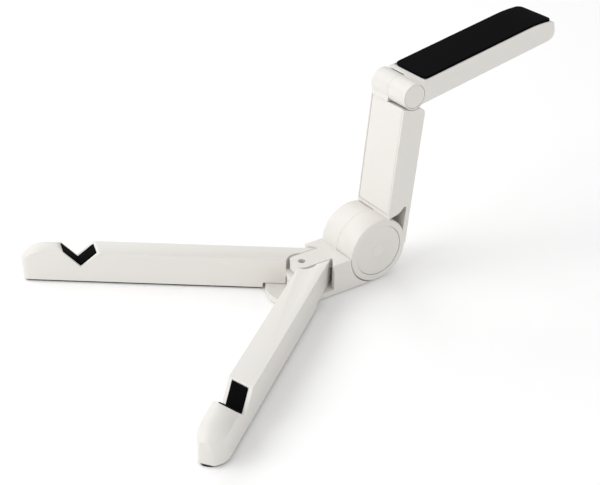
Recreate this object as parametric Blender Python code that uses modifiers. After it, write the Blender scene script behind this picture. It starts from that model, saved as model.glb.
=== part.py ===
"""Folding stand that props up a tablet: two swinging legs, a hub, and a two-piece arm.

Frame: metres, +Z up, origin on the table under the pin that both legs turn on,
-Y towards the legs and +Y towards the drum hinge at the foot of the arm.
The stand is modelled open, as it is used.  Legs and arms are drawn in their own
pivots' frames, so one set of sizes serves whatever the pose.
"""
import math

import bmesh
import bpy
from mathutils import Matrix, Vector

# ---- driving dimensions, metres and degrees -------------------------------------
WIDTH = 0.0240            # outside width of the hub, the arms and the two closed legs
HALF = WIDTH / 2
GAP = 0.0003              # air left between pieces that touch
SPLIT = GAP / 2           # each knuckle stops this far from the middle plane

# pose of the open stand
LEG_SPREAD = 37.0         # each leg's swing out from the closed position
ARM_LEAN = 5.65           # lower arm's lean back from upright
ARM_BEND = 73.6           # bend between the lower arm and the top arm

# drum hinge between the hub and the lower arm, axis along X
DRUM_Y = 0.0361
DRUM_Z = 0.0163
DRUM_RADIUS = 0.0161
DRUM_CLEARANCE = DRUM_RADIUS + GAP
CUP_RADIUS = 0.0129       # hollow in each drum end
CUP_FLOOR = 0.0050        # distance of the hollow's floor from the middle plane
CAP_RADIUS = 0.0125
BOLT_RADIUS = 0.0020
BOLT_HOLE = 0.0023
RING_INNER = 0.0050       # toothed click rings between the drum halves
RING_OUTER = 0.0101
RING_FACE = 0.0016
RING_TEETH = 18

# hub
HUB_BOTTOM = 0.0005
HUB_TOP = 0.0165
HUB_FRONT = 0.0103        # front ends of the hub's side walls
PLATE_TOP = 0.0034        # bottom plate under the legs
PLATE_RADIUS = 0.0170
POCKET_RADIUS = 0.0145    # hollow that the legs' root ends turn in
LUG_BOTTOM = 0.0114       # tab over the legs that holds the top of the pin
LUG_HALF = 0.0057
LUG_TIP = 0.0043
PIN_RADIUS = 0.0016
PIN_HOLE = 0.0019
PIN_TOP = 0.0135

# legs
LEG_LENGTH = 0.1331       # pin to tip
LEG_BOTTOM = 0.0012
LEG_TOP = HUB_TOP
NOSE_TOP = 0.0177
NOSE_FRONT = 0.0043       # the tip's foremost point, measured from the inner side
NOSE_INNER = 0.0040       # stretch over which the inner side curves in to the tip
NOSE_OUTER = 0.0088       # and the outer side
NOSE_RAKE = 0.0010        # the tip's foot stands back this far
CROWN_RADIUS = 0.0097     # the nose's top is part of a bullet lying along the leg,
CROWN_MIDDLE = 0.0052     # this far from the inner side,
CROWN_START = 0.0120      # whose point starts this far from the tip
CROWN_REACH = 0.0130
ROOT_RADIUS = 0.0139
KNUCKLE_RADIUS = 0.0070
KNUCKLE_CLEARANCE = 0.0074
KNUCKLE_SPLIT = 0.0074    # height where the right leg's knuckle ends and the left's begins
PLATE_CLEARANCE = 0.0183
LEG_WALL = 0.0018
SLOT_FROM_TIP = 0.0295    # bottom of the V slot that holds the tablet's edge, at the inner side
SLOT_BOTTOM = 0.0085
SLOT_SKEW = 20.5          # the slot's turn from square to the leg, nearly in line with its twin
SLOT_PAD_INSET = 0.0020
SLOT_PAD_RUN = 0.0103     # length of the slot pad down each face of the V
SLOT_PAD_PROUD = 0.0005
SLOT_CHANNEL = 0.0008
FOOT_THICK = 0.0010
FOOT_INSET = 0.0010

# lower arm, in the drum hinge's frame
ARM_FRONT = 0.0031        # front face, behind the axis
ARM_BACK = DRUM_RADIUS    # back face, tangent to the drum
ARM_TOP = 0.0701
COVER_THICK = 0.0016
COVER_MARGIN = 0.0011
ELBOW_BACK = 0.00855      # elbow axis
ELBOW_UP = 0.0763

# elbow and top arm, in the elbow's frame: +Y along the arm, +Z the pad side
ELBOW_RADIUS = 0.0064
ELBOW_CLEARANCE = 0.00675
ELBOW_CAP = 0.0054
TOP_HALF = 0.0054         # half thickness of the top arm
TOP_LENGTH = 0.0863
TOP_WALL = 0.0018
PAD_START = 0.0073
PAD_END = 0.0856
PAD_TOP = 0.0064
PAD_SINK = 0.0006         # depth of the recess that the pad is glued in
TIP_CURVE_START = 0.0700
TIP_CURVE_RADIUS = 0.0720

ROUND_STEPS = 48          # sides of a large round


# ---- scene ----------------------------------------------------------------------
def clear_scene():
    for obj in list(bpy.data.objects):
        bpy.data.objects.remove(obj, do_unlink=True)


def new_collection(name):
    collection = bpy.data.collections.new(name)
    bpy.context.scene.collection.children.link(collection)
    return collection


def new_material(name, colour, roughness, metallic=0.0):
    material = bpy.data.materials.new(name)
    material.use_nodes = True
    shader = material.node_tree.nodes["Principled BSDF"]
    shader.inputs["Base Color"].default_value = (*colour, 1.0)
    shader.inputs["Roughness"].default_value = roughness
    shader.inputs["Metallic"].default_value = metallic
    material.diffuse_color = (*colour, 1.0)
    return material


clear_scene()
PARTS = new_collection("tablet_stand")
CUTTERS = new_collection("cutters")
WHITE = new_material("white_abs", (0.80, 0.79, 0.76), 0.38)
FOAM = new_material("black_foam", (0.012, 0.012, 0.014), 0.90)
RUBBER = new_material("black_rubber", (0.018, 0.018, 0.018), 0.75)
STEEL = new_material("zinc_steel", (0.62, 0.62, 0.60), 0.35, 1.0)
NYLON = new_material("natural_nylon", (0.70, 0.68, 0.60), 0.50)


# ---- making and placing solids ----------------------------------------------------
def put(obj, pivot, material):
    """File a piece under the stand, or, when it has no material, under the cutters."""
    if material is None:
        CUTTERS.objects.link(obj)
        obj.hide_render = True
        obj.display_type = "WIRE"
    else:
        PARTS.objects.link(obj)
        obj.data.materials.append(material)
    obj.parent = pivot
    return obj


def from_bmesh(name, bm, pivot, material):
    mesh = bpy.data.meshes.new(name)
    bm.to_mesh(mesh)
    bm.free()
    return put(bpy.data.objects.new(name, mesh), pivot, material)


def box(name, low, high, pivot=None, material=None):
    """Box between two opposite corners."""
    low, high = Vector(low), Vector(high)
    bm = bmesh.new()
    bmesh.ops.create_cube(bm, size=1.0)
    bmesh.ops.scale(bm, vec=high - low, verts=bm.verts)
    bmesh.ops.translate(bm, vec=(low + high) / 2, verts=bm.verts)
    return from_bmesh(name, bm, pivot, material)


def rod(name, radius, start, end, pivot=None, material=None, sides=ROUND_STEPS):
    """Round bar from one point to another."""
    start, end = Vector(start), Vector(end)
    turn = Vector((0, 0, 1)).rotation_difference(end - start).to_matrix().to_4x4()
    bm = bmesh.new()
    bmesh.ops.create_cone(bm, cap_ends=True, segments=sides, radius1=radius, radius2=radius,
                          depth=(end - start).length,
                          matrix=Matrix.Translation((start + end) / 2) @ turn)
    return from_bmesh(name, bm, pivot, material)


def x_rod(name, radius, x_start, x_end, centre=(0.0, 0.0), **options):
    """Round bar along X, centred on the given Y and Z."""
    return rod(name, radius, (x_start, *centre), (x_end, *centre), **options)


def z_rod(name, radius, z_start, z_end, centre=(0.0, 0.0), **options):
    """Upright round bar, centred on the given X and Y."""
    return rod(name, radius, (*centre, z_start), (*centre, z_end), **options)


def outline(*corners, steps=5):
    """Closed polygon whose corners, given as (a, b, radius), are rounded by arcs."""
    points = []
    for index, (a, b, radius) in enumerate(corners):
        corner = Vector((a, b))
        if radius == 0:
            points.append(corner)
            continue
        before = (Vector(corners[index - 1][:2]) - corner).normalized()
        after = (Vector(corners[(index + 1) % len(corners)][:2]) - corner).normalized()
        half_angle = before.angle(after) / 2
        centre = corner + (before + after).normalized() * radius / math.sin(half_angle)
        spoke = corner + before * radius / math.tan(half_angle) - centre
        last = corner + after * radius / math.tan(half_angle) - centre
        sweep = math.atan2(spoke.cross(last), spoke.dot(last))
        for step in range(steps + 1):
            points.append(centre + Matrix.Rotation(sweep * step / steps, 2) @ spoke)
    return points


def oval(centre, half_a, half_b, start, end, steps=12):
    """Points of part of an ellipse, angles in degrees, both ends included."""
    angles = [math.radians(start + (end - start) * step / steps) for step in range(steps + 1)]
    return [Vector((centre[0] + half_a * math.cos(angle), centre[1] + half_b * math.sin(angle)))
            for angle in angles]


def arc(centre, radius, start, end, steps=12):
    """Points of an arc, angles in degrees, both ends included."""
    return oval(centre, radius, radius, start, end, steps)


def mesh_of_curve(curve):
    """Curve's surface with its seams closed."""
    flat = bpy.data.objects.new(curve.name, curve)
    bpy.context.scene.collection.objects.link(flat)
    graph = bpy.context.evaluated_depsgraph_get()
    mesh = bpy.data.meshes.new_from_object(flat.evaluated_get(graph))
    bpy.data.objects.remove(flat)
    bm = bmesh.new()
    bm.from_mesh(mesh)
    bpy.data.meshes.remove(mesh)
    bmesh.ops.remove_doubles(bm, verts=bm.verts, dist=1e-6)
    return bm


def slab(name, points, low, high, axis, pivot=None, material=None):
    """Flat outline given thickness: (y, z) points along X, or (x, y) points along Z."""
    curve = bpy.data.curves.new(name, "CURVE")
    curve.dimensions = "2D"
    curve.fill_mode = "BOTH"
    curve.extrude = (high - low) / 2
    spline = curve.splines.new("POLY")
    spline.points.add(len(points) - 1)
    for target, point in zip(spline.points, points):
        target.co = (point[0], point[1], 0.0, 1.0)
    spline.use_cyclic_u = True
    bm = mesh_of_curve(curve)
    bmesh.ops.dissolve_limit(bm, angle_limit=0.001, verts=bm.verts, edges=bm.edges)
    bmesh.ops.translate(bm, vec=(0, 0, (low + high) / 2), verts=bm.verts)
    if axis == "X":
        bmesh.ops.transform(bm, matrix=Matrix(((0, 0, 1, 0), (1, 0, 0, 0), (0, 1, 0, 0), (0, 0, 0, 1))),
                            verts=bm.verts)
    bmesh.ops.recalc_face_normals(bm, faces=bm.faces)
    return from_bmesh(name, bm, pivot, material)


def turned(name, profile, axis, location=(0, 0, 0), pivot=None, material=None, steps=32):
    """Solid of revolution; the profile's (radius, height) points run from top to bottom."""
    bm = bmesh.new()
    verts = [bm.verts.new((radius, 0.0, height)) for radius, height in profile]
    for first, second in zip(verts, verts[1:]):
        bm.edges.new((first, second))
    obj = from_bmesh(name, bm, pivot, material)
    spin = obj.modifiers.new("turn", "SCREW")
    spin.steps = steps
    spin.render_steps = steps
    spin.use_merge_vertices = True
    spin.merge_threshold = 0.00001
    obj.location = location
    if axis == "X":
        obj.rotation_euler = (0.0, math.radians(90), 0.0)
    return obj


def boolean(obj, operation, tools):
    for tool in tools:
        modifier = obj.modifiers.new(tool.name, "BOOLEAN")
        modifier.operation = operation
        modifier.object = tool
    return obj


def cut(obj, *tools):
    return boolean(obj, "DIFFERENCE", tools)


def join(obj, *tools):
    return boolean(obj, "UNION", tools)


def keep_inside(obj, tool):
    return boolean(obj, "INTERSECT", [tool])


def soften(obj, width, segments=2):
    """Round the sharp edges."""
    bevel = obj.modifiers.new("soft_edges", "BEVEL")
    bevel.width = width
    bevel.segments = segments
    bevel.limit_method = "ANGLE"
    bevel.angle_limit = math.radians(40)
    return obj


def new_pivot(name, location, rotation, parent=None):
    """Empty on a joint's axis; its pieces hang from it."""
    pivot = bpy.data.objects.new(name, None)
    PARTS.objects.link(pivot)
    pivot.empty_display_size = 0.01
    pivot.parent = parent
    pivot.location = location
    pivot.rotation_euler = rotation
    return pivot


# ---- hub --------------------------------------------------------------------------
def make_hub_shell():
    """One moulding: side walls, bottom plate, lug over the legs and the left drum half."""
    axle = (DRUM_Y, DRUM_Z)
    shell = slab("hub_shell", outline((-PLATE_RADIUS, HUB_BOTTOM, 0), (DRUM_Y, HUB_BOTTOM, 0),
                                      (DRUM_Y, HUB_TOP, 0), (HUB_FRONT, HUB_TOP, 0),
                                      (HUB_FRONT, PLATE_TOP, 0), (-PLATE_RADIUS, PLATE_TOP, 0)),
                 -HALF, HALF, "X", material=WHITE)
    corner = math.degrees(math.asin(HALF / PLATE_RADIUS))
    plan = arc((0, 0), PLATE_RADIUS, -90 - corner, -90 + corner)
    plan += [Vector((HALF, DRUM_Y + 0.002)), Vector((-HALF, DRUM_Y + 0.002))]
    keep_inside(shell, slab("hub_plan", plan, -0.001, HUB_TOP + 0.001, "Z"))
    cut(shell, z_rod("hub_pocket", POCKET_RADIUS, PLATE_TOP, HUB_TOP + 0.001))
    lug = outline((-LUG_HALF, POCKET_RADIUS + 0.002, 0), (-LUG_HALF, -LUG_TIP, 0.0030),
                  (LUG_HALF, -LUG_TIP, 0.0030), (LUG_HALF, POCKET_RADIUS + 0.002, 0))
    join(shell, slab("hub_lug", lug, LUG_BOTTOM, HUB_TOP, "Z"))
    join(shell, soften(x_rod("hub_drum", DRUM_RADIUS, -HALF, 0.001, axle), 0.0010))
    cut(shell,
        x_rod("hub_arm_clearance", DRUM_CLEARANCE, -SPLIT, HALF + 0.001, axle),
        x_rod("hub_cup", CUP_RADIUS, -HALF - 0.001, -CUP_FLOOR, axle),
        x_rod("hub_bolt_hole", BOLT_HOLE, -CUP_FLOOR - 0.001, 0.001, axle, sides=24),
        x_rod("hub_ring_seat", RING_OUTER + GAP, -RING_FACE - GAP, 0.001, axle),
        z_rod("hub_pin_hole", PIN_HOLE, -0.001, HUB_TOP + 0.001, sides=24),
        z_rod("hub_pin_counterbore", 0.0038, -0.001, 0.0024, sides=24),
        slab("hub_foot_seat", foot_outline(GAP), -0.001, 0.0013, "Z"))
    return shell


def foot_outline(margin):
    """Rounded rectangle of the hub's foot pad, grown by a margin."""
    side, front, back, corner = 0.0090 + margin, -0.0110 - margin, 0.0240 + margin, 0.0035
    return outline((-side, front, corner), (side, front, corner), (side, back, corner), (-side, back, corner))


def make_hub_fittings():
    slab("hub_foot_pad", foot_outline(0), 0.0, 0.0010, "Z", material=RUBBER)
    turned("leg_pin", [(0, PIN_TOP), (PIN_RADIUS, PIN_TOP), (PIN_RADIUS, 0.0021), (0.0034, 0.0021),
                       (0.0034, 0.0014), (0, 0.0014)], "Z", material=STEEL, steps=24)


# ---- drum hinge hardware ------------------------------------------------------------
def make_click_ring(name, side, pivot):
    """Toothed ring set in one drum half's inner face; side is -1 for the hub, +1 for the arm."""
    face, back = side * SPLIT, side * RING_FACE
    centre = (0, 0) if pivot else (DRUM_Y, DRUM_Z)
    ring = x_rod(name, RING_OUTER, face, back, centre, pivot=pivot, material=NYLON, sides=36)
    cut(ring, x_rod(name + "_bore", RING_INNER, -0.003, 0.003, centre, pivot=pivot, sides=24))
    bm = bmesh.new()
    for tooth in range(RING_TEETH):
        made = bmesh.ops.create_cube(bm, size=1.0)["verts"]
        bmesh.ops.scale(bm, vec=(0.0010, 0.0008, 0.0060), verts=made)
        bmesh.ops.translate(bm, vec=(face, 0, 0.0092), verts=made)
        turn = Matrix.Rotation(math.tau * tooth / RING_TEETH, 3, "X")
        bmesh.ops.rotate(bm, cent=(0, 0, 0), matrix=turn, verts=made)
    bmesh.ops.translate(bm, vec=(0, *centre), verts=bm.verts)
    cut(ring, from_bmesh(name + "_grooves", bm, pivot, None))
    return ring


def make_spring(name, radius, wire, start, end, turns, centre, material):
    """Compression spring along X, as one helix of round wire."""
    steps_per_turn = 14
    count = int(turns * steps_per_turn) + 1
    curve = bpy.data.curves.new(name, "CURVE")
    curve.dimensions = "3D"
    curve.bevel_depth = wire / 2
    curve.bevel_resolution = 1
    curve.use_fill_caps = True
    spline = curve.splines.new("POLY")
    spline.points.add(count - 1)
    for index, point in enumerate(spline.points):
        angle = math.tau * index / steps_per_turn
        along = start + wire / 2 + (end - start - wire) * index / (count - 1)
        point.co = (along, centre[0] + radius * math.cos(angle), centre[1] + radius * math.sin(angle), 1.0)
    bm = mesh_of_curve(curve)
    bmesh.ops.triangulate(bm, faces=bm.faces)
    return from_bmesh(name, bm, None, material)


def make_drum_hardware():
    """Bolt, washer, nut and spring that clamp the two drum halves together, and the hub's end cap."""
    axle = (DRUM_Y, DRUM_Z)
    bolt = x_rod("drum_bolt", BOLT_RADIUS, -0.0080, 0.0103, axle, material=STEEL, sides=24)
    join(bolt, x_rod("drum_bolt_head", 0.0036, -0.0092, -0.0064, axle, sides=6))
    washer = x_rod("drum_washer", 0.0044, -0.0061, -0.0053, axle, material=STEEL, sides=32)
    cut(washer, x_rod("drum_washer_bore", BOLT_HOLE, -0.007, -0.004, axle, sides=24))
    nut = x_rod("drum_nut", 0.0038, 0.0080, 0.0100, axle, material=STEEL, sides=6)
    cut(nut, x_rod("drum_nut_bore", BOLT_HOLE, 0.007, 0.011, axle, sides=24))
    make_spring("drum_spring", 0.0033, 0.0008, 0.0053, 0.0077, 2.5, axle, STEEL)
    make_click_ring("click_ring_fixed", -1, None)


def make_end_cap(name, radius, face, side, thickness, pivot, centre=(0.0, 0.0)):
    """Shallow round cap; its outer face stands at the given X, on the given side."""
    edge = 0.0003
    profile = [(0, thickness), (radius - edge, thickness), (radius, thickness - edge), (radius, 0), (0, 0)]
    cap = turned(name, profile, "X", (face - side * thickness, *centre), pivot, WHITE, steps=ROUND_STEPS)
    if side < 0:
        cap.rotation_euler.y = math.radians(-90)
    return cap


# ---- legs ---------------------------------------------------------------------------
def leg_plan(side, inset=0.0):
    """Leg seen from above, closed: wedge-cut root, straight sides, bullet nose."""
    half_angle = math.degrees(math.asin((HALF - inset) / ROOT_RADIUS))
    outer = HALF - inset
    points = [Vector((SPLIT + inset, 0.0))]
    points += arc((0.0, 0.0), ROOT_RADIUS, 90 - LEG_SPREAD - 1.0, 90 - half_angle, 5)
    points += oval((NOSE_FRONT, NOSE_OUTER - LEG_LENGTH), outer - NOSE_FRONT, NOSE_OUTER - inset, 0, -90, 14)
    points += oval((NOSE_FRONT, NOSE_INNER - LEG_LENGTH), NOSE_FRONT - SPLIT - inset,
                   max(NOSE_INNER - inset, GAP), -90, -180, 8)[1:]
    return [Vector((side * x, y)) for x, y in points]


def slot_band(low, high, run):
    """Cross-section of a band along both faces of the V slot, between two offsets from them."""
    arm_side = Vector((1, 1)).normalized()
    nose_side = Vector((-1, 1)).normalized()
    up = Vector((0, math.sqrt(2)))
    apex = Vector((0.0, SLOT_BOTTOM))
    return [apex + nose_side * run + arm_side * low, apex + up * low,
            apex + arm_side * run + nose_side * low, apex + arm_side * run + nose_side * high,
            apex + up * high, apex + nose_side * run + arm_side * high]


def slot_prism(name, points, side, pivot, material=None):
    """Cross-section carried along the V slot, which crosses the leg at a skew."""
    prism = slab(name, points, -2 * HALF, 2 * HALF, "X", pivot, material)
    prism.location = (0.0, SLOT_FROM_TIP - LEG_LENGTH, 0.0)
    prism.rotation_euler.z = -side * math.radians(SLOT_SKEW)
    return prism


def make_crown(name, side, pivot):
    """What is cut away above the nose: a block across its top, less a bullet with an oval point."""
    block = slot_prism(name, [Vector(corner) for corner in ((-0.0030, 0.0100), (-0.0030, 0.0300),
                                                            (-0.0400, 0.0300), (-0.0400, 0.0100))], side, pivot)
    back = 0.0400
    point = oval((0.0, CROWN_START), CROWN_RADIUS, CROWN_REACH, 0, -90, 12)
    bullet = turned(name + "_bullet", [(0, back), (CROWN_RADIUS, back)] + [tuple(place) for place in point[:-1]] +
                    [(0, point[-1].y)], "Z", (side * CROWN_MIDDLE, -LEG_LENGTH, NOSE_TOP - CROWN_RADIUS),
                    pivot, steps=64)
    bullet.rotation_euler.x = math.radians(-90)
    cut(block, bullet)
    return block


def leg_side_view():
    """Leg seen from the side: raked tip and flat top; the step up to the nose falls inside the slot."""
    tip = -LEG_LENGTH
    step, above = tip + SLOT_FROM_TIP - 0.0020, NOSE_TOP + 0.0010
    return outline((tip + NOSE_RAKE, LEG_BOTTOM, 0), (0.0160, LEG_BOTTOM, 0), (0.0160, LEG_TOP, 0),
                   (step, LEG_TOP, 0), (step, above, 0), (tip, above, 0))


def slot_view():
    """Cross-section of the V slot, flaring into rounded lips at the leg's top."""
    to_arm, to_nose, clear = LEG_TOP - SLOT_BOTTOM, SLOT_BOTTOM - NOSE_TOP, 0.00002
    return outline((0.0, SLOT_BOTTOM, 0.0008), (to_arm + clear, LEG_TOP + clear, 0.0025),
                   (to_arm + 0.0040, LEG_TOP + clear, 0), (to_arm + 0.0040, 0.0220, 0),
                   (to_nose - 0.0040, 0.0220, 0), (to_nose - 0.0040, NOSE_TOP + clear, 0),
                   (to_nose - clear, NOSE_TOP + clear, 0.0015), steps=6)


def make_leg(name, side, pivot):
    """Hollow leg with its knuckle; side is +1 for the right leg and -1 for the left."""
    shell = slab(name + "_shell", leg_side_view(), -HALF - 0.001, HALF + 0.001, "X", pivot, WHITE)
    keep_inside(shell, slab(name + "_plan", leg_plan(side), -0.001, 0.020, "Z", pivot))
    cut(shell, make_crown(name + "_crown", side, pivot))
    own = (KNUCKLE_SPLIT + SPLIT, LUG_BOTTOM - GAP) if side < 0 else (PLATE_TOP + GAP, KNUCKLE_SPLIT - SPLIT)
    other = (PLATE_TOP - 0.001, own[0]) if side < 0 else (own[1], LUG_BOTTOM - GAP)
    cut(shell,
        z_rod(name + "_plate_clearance", PLATE_CLEARANCE, -0.001, PLATE_TOP + GAP, pivot=pivot),
        z_rod(name + "_knuckle_clearance", KNUCKLE_CLEARANCE, *other, pivot=pivot, sides=32),
        z_rod(name + "_lug_clearance", KNUCKLE_CLEARANCE, LUG_BOTTOM - GAP, 0.020, pivot=pivot, sides=32),
        lug_band(name, side, pivot))
    join(shell, z_rod(name + "_knuckle", KNUCKLE_RADIUS, *own, pivot=pivot, sides=32))
    cut(shell, z_rod(name + "_pin_hole", PIN_HOLE, -0.001, 0.020, pivot=pivot, sides=24))
    channel = slot_prism(name + "_slot_channel", slot_band(-SLOT_CHANNEL, 0.0030, SLOT_PAD_RUN + GAP), side, pivot)
    keep_inside(channel, slot_ends(name + "_channel_ends", side, SLOT_PAD_INSET - SPLIT, pivot))
    cut(shell, slot_prism(name + "_slot", slot_view(), side, pivot), channel,
        leg_hollow(name + "_hollow", side, pivot))
    for index, y in enumerate(screw_places()):
        middle = (side * HALF / 2, y)
        join(shell, z_rod(f"{name}_boss_{index}", 0.0021, 0.0034, LEG_TOP - 0.001, middle, pivot=pivot, sides=16))
        cut(shell, z_rod(f"{name}_pilot_{index}", 0.0011, 0.0030, 0.0110, middle, pivot=pivot, sides=12))
    return shell


def slot_ends(name, side, inset, pivot):
    """Box that ends a band in the slot a little inside the leg's two sides."""
    ends = sorted((side * inset, side * (HALF - inset)))
    return box(name, (ends[0], -LEG_LENGTH, 0.0), (ends[1], -LEG_LENGTH / 2, 0.0300), pivot)


def lug_band(name, side, pivot):
    """Way through the leg's root for the hub's lug, at the leg's open position."""
    half = LUG_HALF + 0.0005
    band = box(name + "_lug_band", (-half, 0.0, LUG_BOTTOM - GAP), (half, 0.0200, 0.0200), pivot)
    band.rotation_euler.z = -side * math.radians(LEG_SPREAD)
    return band


def screw_places():
    return (-0.0300, -0.0880)


def leg_hollow(name, side, pivot):
    """Space inside the leg, open underneath, lower under the V slot and the nose."""
    under_slot = SLOT_BOTTOM - LEG_WALL - 0.0010
    view = [(-0.1240, 0.0), (-0.0200, 0.0), (-0.0200, LEG_TOP - LEG_WALL), (-0.0925, LEG_TOP - LEG_WALL),
            (-0.0925 - (LEG_TOP - LEG_WALL - under_slot), under_slot), (-0.1240, under_slot)]
    hollow = slab(name, view, -HALF - 0.001, HALF + 0.001, "X", pivot)
    return keep_inside(hollow, slab(name + "_plan", leg_plan(side, LEG_WALL), -0.001, 0.020, "Z", pivot))


def make_leg_fittings(name, side, pivot):
    """Underside cover with its screws, rubber foot strip and slot pad of one leg."""
    cover = box(name + "_cover", (-HALF, -0.1235, LEG_BOTTOM), (HALF, -0.0203, LEG_BOTTOM + 0.0016), pivot, WHITE)
    keep_inside(cover, slab(name + "_cover_plan", leg_plan(side, LEG_WALL + GAP), -0.001, 0.020, "Z", pivot))
    for index, y in enumerate(screw_places()):
        middle = (side * HALF / 2, y)
        cut(cover, z_rod(f"{name}_screw_way_{index}", 0.0012, 0.0, 0.0040, middle, pivot=pivot, sides=16),
            z_rod(f"{name}_screw_sink_{index}", 0.0021, 0.0, LEG_BOTTOM + 0.0008, middle, pivot=pivot, sides=16))
        turned(f"{name}_screw_{index + 1}", [(0, 0.0080), (0.0008, 0.0072), (0.0008, 0.0006), (0.0018, 0.0006),
                                             (0.0018, 0.0001), (0, 0.0001)],
               "Z", (*middle, LEG_BOTTOM), pivot, STEEL, steps=12)
    strip = slab(name + "_foot", leg_plan(side, FOOT_INSET), 0.0, FOOT_THICK - SPLIT, "Z", pivot, RUBBER)
    cut(strip, z_rod(name + "_foot_end", PLATE_CLEARANCE + 0.0006, -0.001, 0.003, pivot=pivot))
    pad = slot_prism(name + "_slot_pad", slot_band(GAP - SLOT_CHANNEL, SLOT_PAD_PROUD, SLOT_PAD_RUN), side, pivot, FOAM)
    keep_inside(pad, slot_ends(name + "_pad_ends", side, SLOT_PAD_INSET + SPLIT, pivot))


# ---- lower arm ------------------------------------------------------------------------
def make_lower_arm_shell(pivot):
    """Trough open at the front, with the right drum half below and the left elbow knuckle above."""
    elbow = (ELBOW_BACK, ELBOW_UP)
    body = outline((ARM_FRONT, 0.0080, 0), (ARM_BACK, 0.0010, 0), (ARM_BACK, ARM_TOP, 0.0030),
                   (ARM_FRONT, ARM_TOP, 0))
    shell = slab("lower_arm_shell", body, -HALF, HALF, "X", pivot, WHITE)
    front_inner, back_inner = ARM_FRONT + COVER_THICK + GAP + 0.0010, ARM_BACK - 0.0026
    cavity = outline((front_inner, 0.0120, 0), (back_inner, 0.0050, 0), (back_inner, 0.0685, 0.0010),
                     (front_inner, 0.0685, 0))
    window = outline((0.0080, 0.0080, 0), (back_inner, 0.0050, 0), (back_inner, 0.0225, 0.0010),
                     (0.0095, 0.0176, 0.0060), (0.0040, 0.0158, 0.0005))
    cut(shell,
        slab("arm_cavity", cavity, -HALF + 0.0020, HALF - 0.0020, "X", pivot),
        slab("arm_window", window, HALF - 0.0030, HALF + 0.0010, "X", pivot),
        x_rod("arm_hub_clearance", DRUM_CLEARANCE, -HALF - 0.001, SPLIT, pivot=pivot),
        box("arm_left_foot", (-HALF - 0.001, 0.0100, -0.001), (SPLIT, 0.0180, 0.0080), pivot))
    join(shell, soften(x_rod("arm_drum", DRUM_RADIUS, SPLIT, HALF, pivot=pivot), 0.0010, 2))
    cut(shell,
        x_rod("arm_cup", CUP_RADIUS, CUP_FLOOR, HALF + 0.001, pivot=pivot),
        x_rod("arm_bolt_hole", BOLT_HOLE, -0.001, CUP_FLOOR + 0.001, pivot=pivot, sides=24),
        x_rod("arm_ring_seat", RING_OUTER + GAP, -0.001, RING_FACE + GAP, pivot=pivot))
    join(shell,
         box("arm_neck", (-HALF, ARM_FRONT, ARM_TOP - 0.0030), (-SPLIT, 0.0095, 0.0730), pivot),
         x_rod("arm_elbow_knuckle", ELBOW_RADIUS, -HALF, -SPLIT, elbow, pivot=pivot, sides=32))
    margin = COVER_MARGIN - GAP
    cut(shell,
        x_rod("arm_elbow_clearance", 0.0068, -SPLIT, HALF + 0.001, elbow, pivot=pivot, sides=32),
        box("arm_cover_seat", (-HALF + margin, 0.0, 0.0180 - GAP),
            (HALF - margin, ARM_FRONT + COVER_THICK + GAP, ARM_TOP + GAP), pivot),
        box("arm_cover_opening", (-HALF + 0.0024, 0.0, 0.0200), (HALF - 0.0024, 0.0080, 0.0665), pivot),
        x_rod("arm_elbow_bore", 0.0015, -HALF + 0.0030, 0.001, elbow, pivot=pivot, sides=20),
        x_rod("arm_elbow_seat", 0.0034, -HALF + 0.0014, -HALF + 0.0040, elbow, pivot=pivot, sides=24),
        x_rod("arm_elbow_mouth", ELBOW_CAP + GAP, -HALF - 0.001, -HALF + 0.0014 + GAP, elbow,
              pivot=pivot, sides=32))
    return shell


def make_lower_arm_fittings(pivot):
    """Front cover, click ring, end caps and the elbow's pin with its friction washer."""
    elbow = (ELBOW_BACK, ELBOW_UP)
    cover = box("lower_arm_cover", (-HALF + COVER_MARGIN, ARM_FRONT, 0.0180),
                (HALF - COVER_MARGIN, ARM_FRONT + COVER_THICK, ARM_TOP), pivot, WHITE)
    soften(cover, 0.0003, 1)
    make_click_ring("click_ring_moving", 1, pivot)
    make_end_cap("drum_cap_right", CAP_RADIUS, HALF - 0.0003, 1, 0.0014, pivot)
    make_end_cap("elbow_cap_left", ELBOW_CAP, -HALF + 0.0001, -1, 0.0012, pivot, elbow)
    pin = x_rod("elbow_pin", 0.0012, -HALF + 0.0018, HALF - 0.0034, elbow, pivot=pivot, material=STEEL, sides=20)
    join(pin, x_rod("elbow_pin_head", 0.0028, -HALF + 0.0018, -HALF + 0.0034, elbow, pivot=pivot, sides=20))


# ---- top arm ----------------------------------------------------------------------------
def top_surface(along):
    """Height of the top arm's pad side: flat, then a gentle arc down to the tip."""
    past = max(along - TIP_CURVE_START, 0.0)
    return TOP_HALF - (TIP_CURVE_RADIUS - math.sqrt(TIP_CURVE_RADIUS ** 2 - past ** 2))


def pad_band(low, high, start, end):
    """Side view of a band that follows the pad side between two offsets above it."""
    steps = 6
    curve = [TIP_CURVE_START + (end - TIP_CURVE_START) * step / steps for step in range(steps + 1)]
    places = [start] + curve
    lower = [Vector((y, top_surface(y) + low)) for y in places]
    upper = [Vector((y, top_surface(y) + high)) for y in reversed(places)]
    return lower + upper


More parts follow.
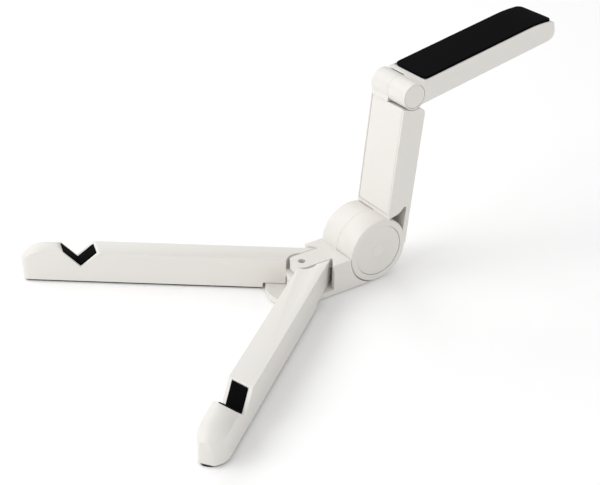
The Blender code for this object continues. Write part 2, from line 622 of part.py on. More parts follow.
def make_top_arm_shell(pivot):
    """Trough open underneath, with the right elbow knuckle."""
    end_height = top_surface(TOP_LENGTH)
    steps = 6
    top = [Vector((y, top_surface(y))) for y in
           (TOP_LENGTH - (TOP_LENGTH - TIP_CURVE_START) * step / steps for step in range(1, steps + 1))]
    view = outline((0.0, -TOP_HALF, 0), (TOP_LENGTH, -TOP_HALF, 0.0040), (TOP_LENGTH, end_height, 0.0012))
    view += top + [Vector((0.0, TOP_HALF))]
    shell = slab("top_arm_shell", view, -HALF, HALF, "X", pivot, WHITE)
    wall_y, wall_z = 0.0100, TOP_HALF - TOP_WALL - PAD_SINK
    hollow = outline((wall_y, -TOP_HALF - 0.001, 0), (TOP_LENGTH - 0.0060, -TOP_HALF - 0.001, 0),
                     (TOP_LENGTH - 0.0060, 0.0005, 0.0010), (TIP_CURVE_START, wall_z, 0), (wall_y, wall_z, 0))
    join(shell, x_rod("top_elbow_knuckle", ELBOW_RADIUS, SPLIT, HALF, pivot=pivot, sides=32))
    cut(shell,
        x_rod("top_elbow_clearance", ELBOW_CLEARANCE, -HALF - 0.001, SPLIT, pivot=pivot, sides=32),
        slab("top_hollow", hollow, -HALF + TOP_WALL, HALF - TOP_WALL, "X", pivot),
        box("top_cover_seat", (-HALF + 0.0010, 0.0090, -TOP_HALF - 0.001),
            (HALF - 0.0010, TOP_LENGTH - 0.0048, -TOP_HALF + COVER_THICK + GAP), pivot),
        slab("top_pad_seat", pad_band(-PAD_SINK, 0.0040, PAD_START - GAP, PAD_END + GAP),
             -HALF + 0.0010 - GAP, HALF - 0.0010 + GAP, "X", pivot),
        x_rod("top_elbow_bore", 0.0015, -0.001, HALF - 0.0030, pivot=pivot, sides=20),
        x_rod("top_elbow_mouth", ELBOW_CAP + GAP, HALF - 0.0014 - GAP, HALF + 0.001, pivot=pivot, sides=32))
    return shell


def make_top_arm_fittings(pivot):
    """Underside cover, foam pad and the elbow's right end cap."""
    cover = box("top_arm_cover", (-HALF + 0.0010 + GAP, 0.0090 + GAP, -TOP_HALF),
                (HALF - 0.0010 - GAP, TOP_LENGTH - 0.0048 - GAP, -TOP_HALF + COVER_THICK), pivot, WHITE)
    soften(cover, 0.0003, 1)
    pad = slab("top_arm_pad", pad_band(GAP - PAD_SINK, PAD_TOP - TOP_HALF, PAD_START, PAD_END),
               -HALF + 0.0010, HALF - 0.0010, "X", pivot, FOAM)
    corner = 0.0025
    keep_inside(pad, slab("top_pad_plan",
                          outline((-HALF + 0.0010, PAD_START, corner), (HALF - 0.0010, PAD_START, corner),
                                  (HALF - 0.0010, PAD_END, corner), (-HALF + 0.0010, PAD_END, corner)),
                          -0.020, 0.020, "Z", pivot))
    make_end_cap("elbow_cap_right", ELBOW_CAP, HALF - 0.0001, 1, 0.0012, pivot)


# ---- the stand ------------------------------------------------------------------------------
def make_stand():
    make_hub_shell()
    make_hub_fittings()
    make_drum_hardware()
    make_end_cap("drum_cap_left", CAP_RADIUS, -HALF + 0.0003, -1, 0.0014, None, (DRUM_Y, DRUM_Z))
    for name, side in (("leg_left", -1), ("leg_right", 1)):
        pivot = new_pivot(name + "_pivot", (0, 0, 0), (0, 0, side * math.radians(LEG_SPREAD)))
        make_leg(name, side, pivot)
        make_leg_fittings(name, side, pivot)
    drum = new_pivot("lower_arm_pivot", (0, DRUM_Y, DRUM_Z), (-math.radians(ARM_LEAN), 0, 0))
    make_lower_arm_shell(drum)
    make_lower_arm_fittings(drum)
    elbow = new_pivot("top_arm_pivot", (0, ELBOW_BACK, ELBOW_UP), (math.radians(90 - ARM_BEND), 0, 0), drum)
    make_top_arm_shell(elbow)
    make_top_arm_fittings(elbow)


make_stand()
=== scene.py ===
"""Looks of a folding tablet stand: white moulded legs, hub and jointed arm, with black pads.

Frame: metres, +Z up, origin on the table under the pin that both legs turn on.
-Y points to the legs and +Y to the drum hinge at the foot of the arm.
"""

import math

import bmesh
import bpy
import numpy as np
from mathutils import Matrix, Vector


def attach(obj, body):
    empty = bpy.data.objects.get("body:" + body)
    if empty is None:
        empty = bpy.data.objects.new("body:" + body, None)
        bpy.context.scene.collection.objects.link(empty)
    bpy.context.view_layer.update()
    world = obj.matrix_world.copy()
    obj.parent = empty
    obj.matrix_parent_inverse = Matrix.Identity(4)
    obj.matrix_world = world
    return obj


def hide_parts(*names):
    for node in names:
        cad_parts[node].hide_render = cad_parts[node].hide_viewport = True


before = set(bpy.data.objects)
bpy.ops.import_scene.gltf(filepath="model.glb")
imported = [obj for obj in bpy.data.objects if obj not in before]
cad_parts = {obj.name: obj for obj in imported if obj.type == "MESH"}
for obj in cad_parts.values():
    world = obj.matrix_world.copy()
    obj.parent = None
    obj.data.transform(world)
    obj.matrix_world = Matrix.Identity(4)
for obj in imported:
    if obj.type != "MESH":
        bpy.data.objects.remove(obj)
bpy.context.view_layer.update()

bl_info = {
    "name": "Folding tablet stand",
    "version": (1, 0, 0),
    "blender": (4, 5, 0),
    "location": "View3D > Sidebar > Stand",
    "description": "Finishes a folding tablet stand: mouldings, caps, pads, fittings and the studio",
    "category": "Object",
}

MM = 0.001


# ---- where the stand's bodies are -------------------------------------------------
def turn_about_x(location, degrees):
    """Frame of an arm: its pivot's place, then its turn about X."""
    return Matrix.Translation(location) @ Matrix.Rotation(math.radians(degrees), 4, "X")


DRUM = turn_about_x((0.0, 0.0361, 0.0163), -5.65)
ELBOW = turn_about_x((0.0, 0.0521203, 0.0913876), 10.75)
ELBOW_IN_DRUM = Vector((0.0, 8.55, 76.3)) * MM                # the elbow's pivot in the drum's frame
UPRIGHT = Matrix.Rotation(math.radians(-90), 4, "Y")          # an axis along X turned up to Z
FORWARD = Matrix.Rotation(math.radians(90), 4, "Z")           # an axis along X turned to Y
SIDES = ("left", "right")

# ---- sizes of the hinges in mm, and of their seams in metres ---------------------------
HINGE_HALF = 12.0         # from the middle plane to the end face of the drum and of the elbow
DRUM_RADIUS = 16.1
DRUM_HOLLOW = 12.9        # radius of the hollow that each of the drum's caps sits in
ELBOW_HOLLOW = 5.7        # radius of the hollow that each of the elbow's caps sits in
HALF_SPLIT = 0.15 * MM    # half the gap that the plain solids keep between a hinge's two halves
SEAM = 0.05 * MM          # half the gap that is left to see where two mouldings meet
NEAR = 0.1 * MM           # points this close to a seam count as on it
FINE_EDGE = 0.25          # share of the usual rounding that an edge at such a seam gets

# ---- roundings of the small pieces, in mm ----------------------------------------------
THIN_EDGE = 0.2           # underside covers and the hub's foot pad
FOOT_EDGE = 0.15          # rubber strips under the legs
PANEL_EDGE = 0.1          # front panel of the lower arm


# ---- colour and material helpers --------------------------------------------------
def linear(hex_colour):
    """sRGB hex such as 'F2F0EC' to a linear RGBA tuple."""
    channels = [int(hex_colour[index:index + 2], 16) / 255 for index in (0, 2, 4)]
    light = [c / 12.92 if c <= 0.04045 else ((c + 0.055) / 1.055) ** 2.4 for c in channels]
    return (*light, 1.0)


def add_node(tree, kind, settings=None, links=None):
    """Add a node, set its properties and its sockets' values, and link its inputs."""
    node = tree.nodes.new(kind)
    for key, value in (settings or {}).items():
        if key in node.inputs:
            node.inputs[key].default_value = value
        else:
            setattr(node, key, value)
    for key, source in (links or {}).items():
        tree.links.new(source, node.inputs[key])
    return node


def new_material(name, colour, roughness, **sockets):
    """Principled material with one colour, as hex or linear RGBA; further sockets by name."""
    material = bpy.data.materials.new(name)
    material.use_nodes = True
    shader = material.node_tree.nodes["Principled BSDF"]
    if isinstance(colour, str):
        colour = linear(colour)
    shader.inputs["Base Color"].default_value = colour
    shader.inputs["Roughness"].default_value = roughness
    for key, value in sockets.items():
        shader.inputs[key.replace("_", " ")].default_value = value
    return material, material.node_tree, shader


def grain(tree, size_mm):
    """Noise whose grains are about the given size, on the piece's own coordinates."""
    place = add_node(tree, "ShaderNodeTexCoord")
    noise = add_node(tree, "ShaderNodeTexNoise",
                     {"Scale": 1.0 / (size_mm * MM), "Detail": 3.0, "Roughness": 0.55},
                     {"Vector": place.outputs["Object"]})
    return noise.outputs["Fac"]


def bump(tree, shader, height, strength, distance_mm):
    """Height pattern as fine relief on a shader's normal."""
    relief = add_node(tree, "ShaderNodeBump", {"Strength": strength, "Distance": distance_mm * MM},
                      {"Height": height})
    tree.links.new(relief.outputs["Normal"], shader.inputs["Normal"])


def spread(tree, source, low, high):
    """Pattern of 0 to 1 carried over to the range low to high."""
    carried = add_node(tree, "ShaderNodeMapRange", {"To Min": low, "To Max": high}, {"Value": source})
    return carried.outputs["Result"]


def white_abs(colour):
    """Moulded ABS, satin from a fine spark-eroded mould: an even white with a broad soft sheen."""
    material, tree, shader = new_material("white_abs_satin", colour, 0.40, IOR=1.53)
    # The mould's texture is under 0.1 mm; it is drawn coarser, at 0.9 mm.
    texture = grain(tree, size_mm=0.9)
    tree.links.new(spread(tree, texture, low=0.34, high=0.46), shader.inputs["Roughness"])
    bump(tree, shader, texture, strength=0.12, distance_mm=0.05)
    return material


def black_foam(colour):
    """Closed-cell EVA foam, skived: matte near-black with tiny open pores that catch light."""
    material, tree, shader = new_material("eva_foam_black", colour, 0.80, IOR=1.45,
                                          Specular_IOR_Level=0.05)
    place = add_node(tree, "ShaderNodeTexCoord")
    # Real pores are about 0.2 mm; they are drawn coarser, at 0.55 mm.
    pores = add_node(tree, "ShaderNodeTexVoronoi", {"Scale": 1.0 / (0.55 * MM), "Randomness": 1.0},
                     {"Vector": place.outputs["Object"]})
    bump(tree, shader, pores.outputs["Distance"], strength=0.5, distance_mm=0.12)
    return material


def black_rubber(colour):
    """Moulded silicone rubber: dark, matte, faintly smeared by handling."""
    material, tree, shader = new_material("silicone_rubber_black", colour, 0.62, IOR=1.42,
                                          Specular_IOR_Level=0.3)
    smear = grain(tree, size_mm=4.0)
    tree.links.new(spread(tree, smear, low=0.55, high=0.70), shader.inputs["Roughness"])
    return material


def zinc_steel():
    """Zinc-plated steel wire and bar: bright grey, softly brushed by tumbling."""
    material, tree, shader = new_material("zinc_plated_steel", "9A9A96", 0.32, Metallic=1.0)
    # The tumbling marks are a few hundredths of a millimetre; they are drawn coarser, at 0.6 mm.
    tumble = grain(tree, size_mm=0.6)
    tree.links.new(spread(tree, tumble, low=0.26, high=0.42), shader.inputs["Roughness"])
    return material


def natural_nylon():
    """Unfilled moulded nylon: creamy, waxy, slightly glossier than the ABS."""
    material, tree, shader = new_material("nylon_natural", "E2DBC6", 0.36, IOR=1.53)
    # The moulded skin's texture is under 0.1 mm; it is drawn coarser, at 0.7 mm.
    bump(tree, shader, grain(tree, size_mm=0.7), strength=0.08, distance_mm=0.04)
    return material


MATERIALS = {}


def finish(slot):
    """The material that stands for one of the record's slots, made once."""
    if slot not in MATERIALS:
        looks = bpy.context.scene.stand_looks
        makers = {
            "white_abs": lambda: white_abs(tuple(looks.white) + (1.0,)),
            "black_foam": lambda: black_foam(tuple(looks.foam) + (1.0,)),
            "black_rubber": lambda: black_rubber(tuple(looks.rubber) + (1.0,)),
            "zinc_steel": zinc_steel,
            "natural_nylon": natural_nylon,
        }
        MATERIALS[slot] = makers[slot]()
    return MATERIALS[slot]


def dress(obj, slot):
    """Give a piece the one material of its slot."""
    obj.data.materials.clear()
    obj.data.materials.append(finish(slot))
    return obj


# ---- mesh helpers --------------------------------------------------------------------
def place_piece(name, mesh, slot, body, replaces=()):
    """Put a finished mesh in the scene on its body, in place of CAD nodes."""
    obj = bpy.data.objects.new(name, mesh)
    bpy.context.scene.collection.objects.link(obj)
    dress(obj, slot)
    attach(obj, body)
    for node in replaces:
        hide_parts(node)
    return obj


def shade(mesh, degrees=32.0):
    """Smooth shading that stays crisp over edges sharper than the angle."""
    mesh.polygons.foreach_set("use_smooth", np.ones(len(mesh.polygons), bool))
    mesh.set_sharp_from_angle(angle=math.radians(degrees))


def merged_copy(node, flat_degrees=0.4):
    """Copy of a CAD node's mesh with its loose triangles merged and flat faces made whole."""
    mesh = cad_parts[node].data.copy()
    bm = bmesh.new()
    bm.from_mesh(mesh)
    bmesh.ops.remove_doubles(bm, verts=bm.verts, dist=2e-6)
    bmesh.ops.dissolve_limit(bm, angle_limit=math.radians(flat_degrees), verts=bm.verts, edges=bm.edges)
    bmesh.ops.recalc_face_normals(bm, faces=bm.faces)
    bm.to_mesh(mesh)
    bm.free()
    return mesh


def points_of(mesh):
    """A mesh's vertices as one array."""
    points = np.empty(len(mesh.vertices) * 3)
    mesh.vertices.foreach_get("co", points)
    return points.reshape(-1, 3)


def reshape(mesh, axis_frame, rule):
    """Move a mesh's points by a rule that takes and gives them in a pivot's own frame."""
    matrix = np.array(axis_frame)
    local = (points_of(mesh) - matrix[:3, 3]) @ matrix[:3, :3]
    mesh.vertices.foreach_set("co", (rule(local) @ matrix[:3, :3].T + matrix[:3, 3]).ravel())
    mesh.update()


def close_split(local):
    """Faces that meet at the middle plane are drawn up to within SEAM of it."""
    slack = 0.01 * MM
    on_split = np.abs(np.abs(local[:, 0]) - HALF_SPLIT) < slack
    moved = local.copy()
    moved[on_split, 0] = np.sign(local[on_split, 0]) * SEAM
    return moved


def weigh_edges(mesh, is_fine, degrees=34.0):
    """Bevel weight of each edge: 1 where it is sharper than the angle, FINE_EDGE on seams, else 0."""
    bm = bmesh.new()
    bm.from_mesh(mesh)
    layer = bm.edges.layers.float.new("bevel_weight_edge")
    limit = math.radians(degrees)
    for edge in bm.edges:
        sharp = len(edge.link_faces) == 2 and edge.calc_face_angle(0.0) > limit
        seam = sharp and all(is_fine(vertex.co) for vertex in edge.verts)
        edge[layer] = FINE_EDGE if seam else float(sharp)
    bm.to_mesh(mesh)
    bm.free()


def soften(obj, width_mm, segments):
    """Round the weighted edges, then even the shading out."""
    bevel = obj.modifiers.new("rounded_edges", "BEVEL")
    bevel.width = width_mm * MM
    bevel.segments = segments
    bevel.limit_method = "WEIGHT"
    bevel.use_clamp_overlap = True
    bevel.harden_normals = True
    return obj


def on_middle(point):
    """True on the planes where two halves of a hinge meet."""
    return abs(point.x) < 2 * SEAM


def on_rim(point, axis_frame, side, radius):
    """True on the round rim, of the given radius in mm, that a hollow cuts in a hinge's end face."""
    local = axis_frame.inverted() @ point
    on_face = abs(local.x - side * HINGE_HALF * MM) < NEAR
    return on_face and abs(math.hypot(local.y, local.z) - radius * MM) < NEAR


def bake_modifiers(obj):
    """Replace a piece's mesh by what its modifiers make of it."""
    graph = bpy.context.evaluated_depsgraph_get()
    mesh = bpy.data.meshes.new_from_object(obj.evaluated_get(graph))
    obj.modifiers.clear()
    obj.data = mesh


def moulding(node, body, slot, width_mm, segments=3, cutters=(), axis_frame=None, rule=None,
             is_fine=on_middle):
    """Finished copy of a CAD moulding: its seams drawn tight, small marks sunk, its edges rounded."""
    mesh = merged_copy(node)
    if rule:
        reshape(mesh, axis_frame, rule)
    obj = place_piece(node + "_finish", mesh, slot, body, [node])
    for cutter in cutters:
        sink = obj.modifiers.new(cutter.name, "BOOLEAN")
        sink.operation = "DIFFERENCE"
        sink.object = cutter
        sink.solver = "EXACT"
    if cutters:
        bake_modifiers(obj)
        for cutter in cutters:
            bpy.data.objects.remove(cutter, do_unlink=True)
    weigh_edges(obj.data, is_fine)
    shade(obj.data)
    return soften(obj, width_mm, segments)


def turned_mesh(name, profile, axis_frame, steps=96):
    """Surface of revolution: each (radius, height) of the profile is swept once round the local
    X axis, x = height, y = radius cos a, z = radius sin a; its first and last points lie on the axis."""
    profile = np.asarray(profile, float)
    angles = np.arange(steps) * (2 * math.pi / steps)
    radius, height = profile[1:-1, 0], profile[1:-1, 1]
    ring = np.stack([np.repeat(height, steps), np.outer(radius, np.cos(angles)).ravel(),
                     np.outer(radius, np.sin(angles)).ravel()], axis=1)
    poles = np.array([[profile[0, 1], 0, 0], [profile[-1, 1], 0, 0]])
    points = np.concatenate([ring, poles])
    row, column = np.meshgrid(np.arange(len(radius) - 1), np.arange(steps), indexing="ij")
    after = (column + 1) % steps
    quads = np.stack([row * steps + column, row * steps + after, (row + 1) * steps + after,
                      (row + 1) * steps + column], axis=-1).reshape(-1, 4)
    column = np.arange(steps)
    after = (column + 1) % steps
    last = (len(radius) - 1) * steps
    first_fan = np.stack([np.full(steps, len(ring)), after, column], axis=1)
    last_fan = np.stack([np.full(steps, len(ring) + 1), last + column, last + after], axis=1)
    matrix = np.array(axis_frame)
    points = points @ matrix[:3, :3].T + matrix[:3, 3]
    mesh = bpy.data.meshes.new(name)
    mesh.from_pydata(points.tolist(), [], quads.tolist() + first_fan.tolist() + last_fan.tolist())
    bm = bmesh.new()
    bm.from_mesh(mesh)
    bmesh.ops.recalc_face_normals(bm, faces=bm.faces)
    bm.to_mesh(mesh)
    bm.free()
    shade(mesh, 50.0)
    return mesh


def rounded(corners, radius_mm, steps=5):
    """Profile through (radius, height) corners in mm, each inner corner eased by a short quadratic
    curve that starts and ends at the given distance from it."""
    corners = np.asarray(corners, float)
    points = [corners[:1]]
    blend = np.linspace(0, 1, steps)[:, None]
    for before, corner, after in zip(corners[:-2], corners[1:-1], corners[2:]):
        reach_in = min(radius_mm, np.linalg.norm(before - corner) * 0.49)
        reach_out = min(radius_mm, np.linalg.norm(after - corner) * 0.49)
        start = corner + (before - corner) / np.linalg.norm(before - corner) * reach_in
        end = corner + (after - corner) / np.linalg.norm(after - corner) * reach_out
        points.append((1 - blend) ** 2 * start + 2 * blend * (1 - blend) * corner + blend ** 2 * end)
    points.append(corners[-1:])
    return np.concatenate(points) * MM


def peg_cutter(name, place, radius_mm, depth_mm, axis_frame, turn):
    """Small round cutter centred on a local place in mm, its axis turned from X as told."""
    profile = np.array([(0, -depth_mm), (radius_mm, -depth_mm), (radius_mm, depth_mm), (0, depth_mm)]) * MM
    mesh = turned_mesh(name, profile, axis_frame @ Matrix.Translation(Vector(place) * MM) @ turn, steps=24)
    obj = bpy.data.objects.new(name, mesh)
    bpy.context.scene.collection.objects.link(obj)
    return obj


# ---- settings ------------------------------------------------------------------------------
class StandLooks(bpy.types.PropertyGroup):
    """Colours of the stand's materials, as linear RGB."""
    white: bpy.props.FloatVectorProperty(name="White plastic", description="Colour of the moulded plastic",
                                         subtype="COLOR", size=3, min=0, max=1, default=linear("DDDAD5")[:3])
    foam: bpy.props.FloatVectorProperty(name="Foam", description="Colour of the glued foam pads",
                                        subtype="COLOR", size=3, min=0, max=1, default=linear("060608")[:3])
    rubber: bpy.props.FloatVectorProperty(name="Rubber", description="Colour of the feet",
                                          subtype="COLOR", size=3, min=0, max=1, default=linear("141415")[:3])


class StandSizes(bpy.types.PropertyGroup):
    """Roundings of the mouldings, pads and caps, in metres."""
    shell_edge: bpy.props.FloatProperty(name="Shell edge", description="Rounding of the mouldings' edges",
                                        subtype="DISTANCE", unit="LENGTH", default=0.5 * MM, min=0.0)
    pad_edge: bpy.props.FloatProperty(name="Pad edge", description="Rounding of the foam pads' edges",
                                      subtype="DISTANCE", unit="LENGTH", default=0.35 * MM, min=0.0)
    cap_rim: bpy.props.FloatProperty(name="Cap rim", description="Rounding of the end caps' rims",
                                     subtype="DISTANCE", unit="LENGTH", default=0.35 * MM, min=0.0)


# ---- pieces ----------------------------------------------------------------------------------
class STAND_OT_hub(bpy.types.Operator):
    """Hub moulding with its foot pad"""
    bl_idname = "stand.hub"
    bl_label = "Hub"

    def execute(self, context):
        share = 0.8                            # the hub's edges are crisper than the legs' and arms'
        edge = context.scene.stand_sizes.shell_edge / MM * share
        dimple = peg_cutter("hub_dimple", place=(-5.9, 12.7, 16.5), radius_mm=0.45, depth_mm=0.5,
                            axis_frame=Matrix.Identity(4), turn=UPRIGHT)
        moulding("hub_shell", "hub", "white_abs", edge, cutters=[dimple], axis_frame=Matrix.Identity(4),
                 rule=close_split, is_fine=self.on_seam)
        moulding("hub_foot_pad", "hub", "black_rubber", THIN_EDGE, segments=2)
        return {"FINISHED"}

    def on_seam(self, point):
        """The middle plane, and the rim of the cap's hollow in the drum's left face."""
        return on_middle(point) or on_rim(point, DRUM, -1, DRUM_HOLLOW)


class STAND_OT_legs(bpy.types.Operator):
    """Both legs: shells, underside covers and rubber feet"""
    bl_idname = "stand.legs"
    bl_label = "Legs"

    def execute(self, context):
        edge = context.scene.stand_sizes.shell_edge / MM
        for side in SIDES:
            body = "leg_" + side
            moulding(body + "_shell", body, "white_abs", edge)
            moulding(body + "_cover", body, "white_abs", THIN_EDGE, segments=2)
            moulding(body + "_foot", body, "black_rubber", FOOT_EDGE, segments=2)
        return {"FINISHED"}


class STAND_OT_lower_arm(bpy.types.Operator):
    """Lower arm trough and its front cover"""
    bl_idname = "stand.lower_arm"
    bl_label = "Lower arm"

    # The front cover and its seat, in mm in the drum's frame.
    half_width, half_height, middle = 10.9, 26.05, 44.05      # of the plain cover, about its own middle
    gap = 0.3                                                 # round the plain cover in its seat
    seat_depth = 3.2                                          # the seat's outline lies in front of this

    def execute(self, context):
        edge = context.scene.stand_sizes.shell_edge / MM
        moulding("lower_arm_shell", "lower_arm", "white_abs", edge, axis_frame=DRUM, rule=self.tighten,
                 is_fine=self.on_seam)
        across, low, high, front = 9.4, 19.6, 68.6, 3.1       # where the cover's four tiny marks are
        marks = [peg_cutter(f"cover_mark_{x}_{z}", place=(x, front, z), radius_mm=0.35, depth_mm=0.12,
                            axis_frame=DRUM, turn=FORWARD)
                 for x in (-across, across) for z in (low, high)]
        moulding("lower_arm_cover", "lower_arm", "white_abs", PANEL_EDGE, segments=2, cutters=marks,
                 axis_frame=DRUM, rule=self.fit_cover)
        return {"FINISHED"}

    def tighten(self, local):
        """The split is closed, and the drum runs up to it with no rounding: points in a narrow band
        beside the split and just under the drum's surface go out to its radius."""
        band = 1.2 * MM
        slack = 0.01 * MM
        full = DRUM_RADIUS * MM
        moved = close_split(local)
        radius = np.hypot(local[:, 1], local[:, 2])
        beside = (local[:, 0] > 0) & (local[:, 0] < band)
        eased = beside & (radius > full - band) & (radius < full - slack)
        moved[eased, 1:] *= (full / radius[eased])[:, None]
        return moved

    def fit_cover(self, local):
        """The panel grows about its middle until a seam's gap, twice SEAM, is left round it."""
        growth = self.gap - 2 * SEAM / MM
        centre = self.middle * MM
        grown = local.copy()
        grown[:, 0] *= 1 + growth / self.half_width
        grown[:, 2] = centre + (local[:, 2] - centre) * (1 + growth / self.half_height)
        return grown

    def on_seam(self, point):
        """The middle plane, the rims of the caps' hollows and the outline of the cover's seat."""
        local = DRUM.inverted() @ point
        past_side = abs(local.x) - (self.half_width + self.gap) * MM
        past_end = abs(local.z - self.middle * MM) - (self.half_height + self.gap) * MM
        on_outline = abs(past_end) < NEAR or (abs(past_side) < NEAR and past_end < NEAR)
        on_seat = on_outline and local.y < self.seat_depth * MM
        elbow = DRUM @ Matrix.Translation(ELBOW_IN_DRUM)
        return (on_middle(point) or on_seat or on_rim(point, DRUM, 1, DRUM_HOLLOW)
                or on_rim(point, elbow, -1, ELBOW_HOLLOW))


class STAND_OT_top_arm(bpy.types.Operator):
    """Top arm trough and its underside cover"""
    bl_idname = "stand.top_arm"
    bl_label = "Top arm"

    def execute(self, context):
        edge = context.scene.stand_sizes.shell_edge / MM
        moulding("top_arm_shell", "top_arm", "white_abs", edge, axis_frame=ELBOW, rule=close_split,
                 is_fine=self.on_seam)
        moulding("top_arm_cover", "top_arm", "white_abs", THIN_EDGE, segments=2)
        return {"FINISHED"}

    def on_seam(self, point):
        """The middle plane, and the rim of the cap's hollow in the elbow."""
        return on_middle(point) or on_rim(point, ELBOW, 1, ELBOW_HOLLOW)


class STAND_OT_caps(bpy.types.Operator):
    """Round end caps of the drum and the elbow; the drum's have a faint raised ring"""
    bl_idname = "stand.caps"
    bl_label = "End caps"

    # Radii and thicknesses in mm, and how far each cap's inner face is from the middle plane.
    drum_radius, drum_thick, drum_inner = 12.78, 1.4, 10.3
    elbow_radius, elbow_thick, elbow_inner = 5.6, 1.2, 10.7
    ring_outer, ring_inner, ring_rise, ring_slope = 3.7, 3.2, 0.07, 0.1

    def execute(self, context):
        upper = self.drum_thick + self.ring_rise
        ring = [(self.ring_outer, self.drum_thick), (self.ring_outer - self.ring_slope, upper),
                (self.ring_inner + self.ring_slope, upper), (self.ring_inner, self.drum_thick)]
        upright_drum = Matrix.Translation(DRUM.translation)
        elbow = DRUM @ Matrix.Translation(ELBOW_IN_DRUM)
        for node, body, side, axis_frame in (("drum_cap_left", "hub", -1, upright_drum),
                                             ("drum_cap_right", "lower_arm", 1, DRUM)):
            self.make(node, body, side, axis_frame, self.drum_radius, self.drum_thick, self.drum_inner, ring)
        for node, body, side, axis_frame in (("elbow_cap_left", "lower_arm", -1, elbow),
                                             ("elbow_cap_right", "top_arm", 1, ELBOW)):
            self.make(node, body, side, axis_frame, self.elbow_radius, self.elbow_thick, self.elbow_inner)
        return {"FINISHED"}

    def make(self, node, body, side, axis_frame, radius, thick, inner_face, ring=()):
        """A disc with an eased rim; a ring's points, if it has one, are left as sharp as they are."""
        rim = bpy.context.scene.stand_sizes.cap_rim / MM
        tail = np.array([*ring, (0.0, thick)])
        edge = rounded([(0.0, 0.0), (radius, 0.0), (radius, thick), tail[0]], rim)
        profile = np.concatenate([edge[:-1], tail * MM])
        profile[:, 1] = side * (profile[:, 1] + inner_face * MM)
        mesh = turned_mesh(node + "_finish", profile, axis_frame)
        place_piece(node + "_finish", mesh, "white_abs", body, [node])


class STAND_OT_pads(bpy.types.Operator):
    """Foam pads glued in the V slots and along the top arm"""
    bl_idname = "stand.pads"
    bl_label = "Pads"

    def execute(self, context):
        edge = context.scene.stand_sizes.pad_edge / MM
        for node, body in (("leg_left_slot_pad", "leg_left"), ("leg_right_slot_pad", "leg_right"),
                           ("top_arm_pad", "top_arm")):
            moulding(node, body, "black_foam", edge, 3)
        return {"FINISHED"}


class STAND_OT_fittings(bpy.types.Operator):
    """Pin, bolt, washer, nut, spring, screws and click rings, kept from the frame"""
    bl_idname = "stand.fittings"
    bl_label = "Fittings"

    def execute(self, context):
        for node in ("click_ring_fixed", "click_ring_moving"):
            dress(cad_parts[node], "natural_nylon")
        screws = [f"leg_{side}_screw_{number}" for side in SIDES for number in (1, 2)]
        for node in ["leg_pin", "drum_bolt", "drum_washer", "drum_nut", "drum_spring", "elbow_pin"] + screws:
            dress(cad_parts[node], "zinc_steel")
        return {"FINISHED"}


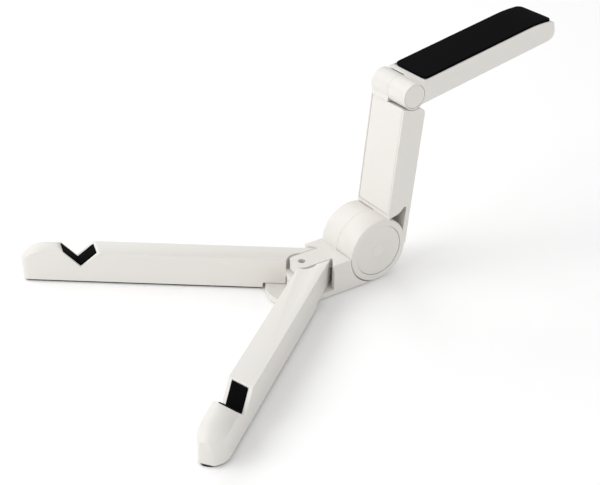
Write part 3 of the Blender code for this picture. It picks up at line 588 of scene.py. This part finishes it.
# ---- studio ----------------------------------------------------------------------------------------
class STAND_OT_studio(bpy.types.Operator):
    """Pale flat floor, soft lights and the camera"""
    bl_idname = "stand.studio"
    bl_label = "Studio"

    def execute(self, context):
        self.make_floor()
        self.make_lights()
        self.make_camera()
        return {"FINISHED"}

    def make_floor(self):
        """A single large square, level with the table."""
        half = 6.0
        mesh = bpy.data.meshes.new("studio_floor")
        mesh.from_pydata([(-half, -half, 0), (half, -half, 0), (half, half, 0), (-half, half, 0)], [],
                         [(0, 1, 2, 3)])
        floor = bpy.data.objects.new("studio_floor", mesh)
        bpy.context.scene.collection.objects.link(floor)
        material, _, _ = new_material("studio_paper", "FFFFFF", 0.9)
        floor.data.materials.append(material)

    def make_lights(self):
        """White surroundings and four square softboxes, their powers in watts, aimed at the stand."""
        scene = bpy.context.scene
        scene.view_settings.view_transform = "Standard"
        scene.world = bpy.data.worlds.new("studio_world")
        scene.world.use_nodes = True
        surround = scene.world.node_tree.nodes["Background"]
        surround.inputs["Color"].default_value = (1.0, 1.0, 1.0, 1.0)
        surround.inputs["Strength"].default_value = 0.565
        size = 1.2
        target = Vector((0.0, 0.0, 0.03))
        for name, place, power in (("front_softbox", (-0.20, -1.40, 0.70), 9.3),
                                   ("key_softbox", (-0.75, -0.95, 1.25), 7.4),
                                   ("right_softbox", (1.35, 0.25, 0.75), 4.6),
                                   ("left_softbox", (-1.35, 0.15, 0.80), 6.9)):
            light = bpy.data.lights.new(name, "AREA")
            light.shape = "SQUARE"
            light.size = size
            light.energy = power
            lamp = bpy.data.objects.new(name, light)
            scene.collection.objects.link(lamp)
            lamp.location = place
            lamp.rotation_euler = (Vector(place) - target).to_track_quat("Z", "Y").to_euler()

    def make_camera(self):
        """A short telephoto, from the right and above, turned a little about its own axis."""
        lens = bpy.data.cameras.new("studio_camera")
        camera = bpy.data.objects.new("studio_camera", lens)
        bpy.context.scene.collection.objects.link(camera)
        lens.sensor_fit = "HORIZONTAL"
        lens.sensor_width = 36.0
        lens.lens = 74.26
        lens.clip_start = 0.01
        lens.clip_end = 50.0
        camera.location = (0.40170, -0.28798, 0.31337)
        camera.rotation_euler = [math.radians(degrees) for degrees in (59.8524, -1.028, 55.0792)]
        bpy.context.scene.camera = camera


class STAND_PT_panel(bpy.types.Panel):
    """Sidebar list of the stand's pieces"""
    bl_idname = "STAND_PT_panel"
    bl_label = "Tablet stand"
    bl_space_type = "VIEW_3D"
    bl_region_type = "UI"
    bl_category = "Stand"

    def draw(self, context):
        for group in (context.scene.stand_looks, context.scene.stand_sizes):
            for key in group.__annotations__:
                self.layout.prop(group, key)
        for operator in OPERATORS:
            self.layout.operator(operator.bl_idname)


OPERATORS = (STAND_OT_hub, STAND_OT_legs, STAND_OT_lower_arm, STAND_OT_top_arm, STAND_OT_caps, STAND_OT_pads,
             STAND_OT_fittings, STAND_OT_studio)
CLASSES = (StandLooks, StandSizes) + OPERATORS + (STAND_PT_panel,)


def register():
    for cls in CLASSES:
        bpy.utils.register_class(cls)
    bpy.types.Scene.stand_looks = bpy.props.PointerProperty(type=StandLooks)
    bpy.types.Scene.stand_sizes = bpy.props.PointerProperty(type=StandSizes)


def unregister():
    del bpy.types.Scene.stand_looks
    del bpy.types.Scene.stand_sizes
    for cls in reversed(CLASSES):
        bpy.utils.unregister_class(cls)


def main():
    """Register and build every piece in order."""
    register()
    for operator in OPERATORS:
        category, name = operator.bl_idname.split(".")
        getattr(getattr(bpy.ops, category), name)()


if __name__ == "__main__":
    main()
